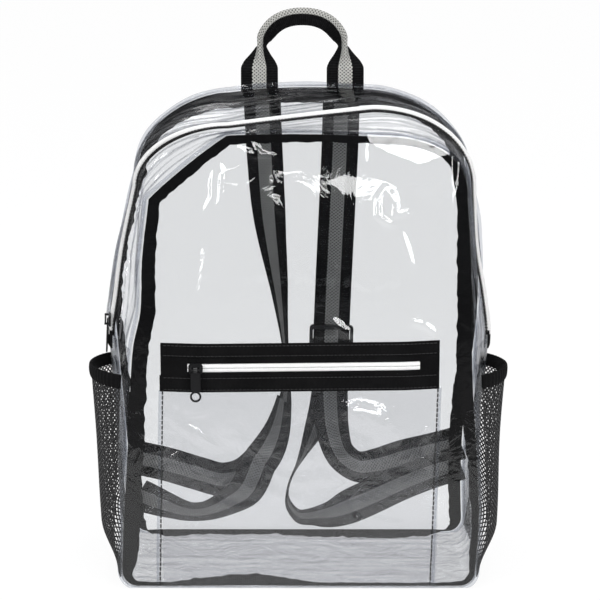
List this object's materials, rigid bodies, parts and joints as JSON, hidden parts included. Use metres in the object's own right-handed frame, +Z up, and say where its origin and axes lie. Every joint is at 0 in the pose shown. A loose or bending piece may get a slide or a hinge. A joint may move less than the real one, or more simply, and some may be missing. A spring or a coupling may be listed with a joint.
{
  "type": "backpack",
  "caption": "Clear zip-top daypack with black bound seams, a zipped front pocket, open net side pockets, webbing shoulder straps and a carry handle.",
  "frame": {"origin": "middle of the underside, on the surface that the bag stands on", "axes": "+Z up to the handle, -Y out through the front panel, +X to the right seen from the front"},
  "size_m": [0.3602, 0.1975, 0.4768],
  "materials": {
    "clear_sheet": "clear, glossy, soft PVC sheet",
    "black_tape": "matt black woven tape",
    "zip_coil": "white nylon coil",
    "black_hardware": "black, satin",
    "black_webbing": "black webbing with a grey herringbone stripe",
    "black_net": "black knitted net"
  },
  "bodies": {
    "bag": {"front_panel": "clear_sheet", "back_panel": "clear_sheet", "base_gusset": "clear_sheet", "zip_gusset_front": "clear_sheet", "zip_gusset_back": "clear_sheet", "pocket_panel": "clear_sheet", "main_zip_tape_front": "black_tape", "main_zip_tape_back": "black_tape", "zip_end_left": "black_tape", "zip_end_right": "black_tape", "front_binding": "black_tape", "back_binding": "black_tape", "pocket_binding_bottom": "black_tape", "pocket_zip_tape_bottom": "black_tape", "pocket_zip_tape_top": "black_tape", "pocket_zip_end_left": "black_tape", "pocket_zip_end_right": "black_tape", "pocket_binding_top": "black_tape", "pocket_hem_left": "black_tape", "pocket_hem_right": "black_tape", "main_zip_coil": "zip_coil", "pocket_zip_coil": "zip_coil", "pocket_zip_slider": "black_hardware", "main_zip_slider": "black_hardware", "strap_adjuster_left": "black_hardware", "strap_adjuster_right": "black_hardware", "handle": "black_webbing", "shoulder_strap_left": "black_webbing", "shoulder_strap_right": "black_webbing", "lower_strap_left": "black_webbing", "lower_strap_right": "black_webbing", "mesh_pocket_left": "black_net", "mesh_pocket_right": "black_net"},
    "pocket_pull": {"pocket_zip_pull": "black_hardware"},
    "main_pull": {"main_zip_pull": "black_hardware"}
  },
  "joints": [
    {"name": "pocket_pull_swing", "type": "hinge", "parent": "bag", "child": "pocket_pull", "pos_m": [-0.087, -0.08274, 0.19814], "axis": [-1, 0, 0], "range_deg": [0, 150]},
    {"name": "main_pull_swing", "type": "hinge", "parent": "bag", "child": "main_pull", "pos_m": [-0.16355, -0.02, 0.22505], "axis": [0, 1, 0], "range_deg": [0, 140]}
  ]
}
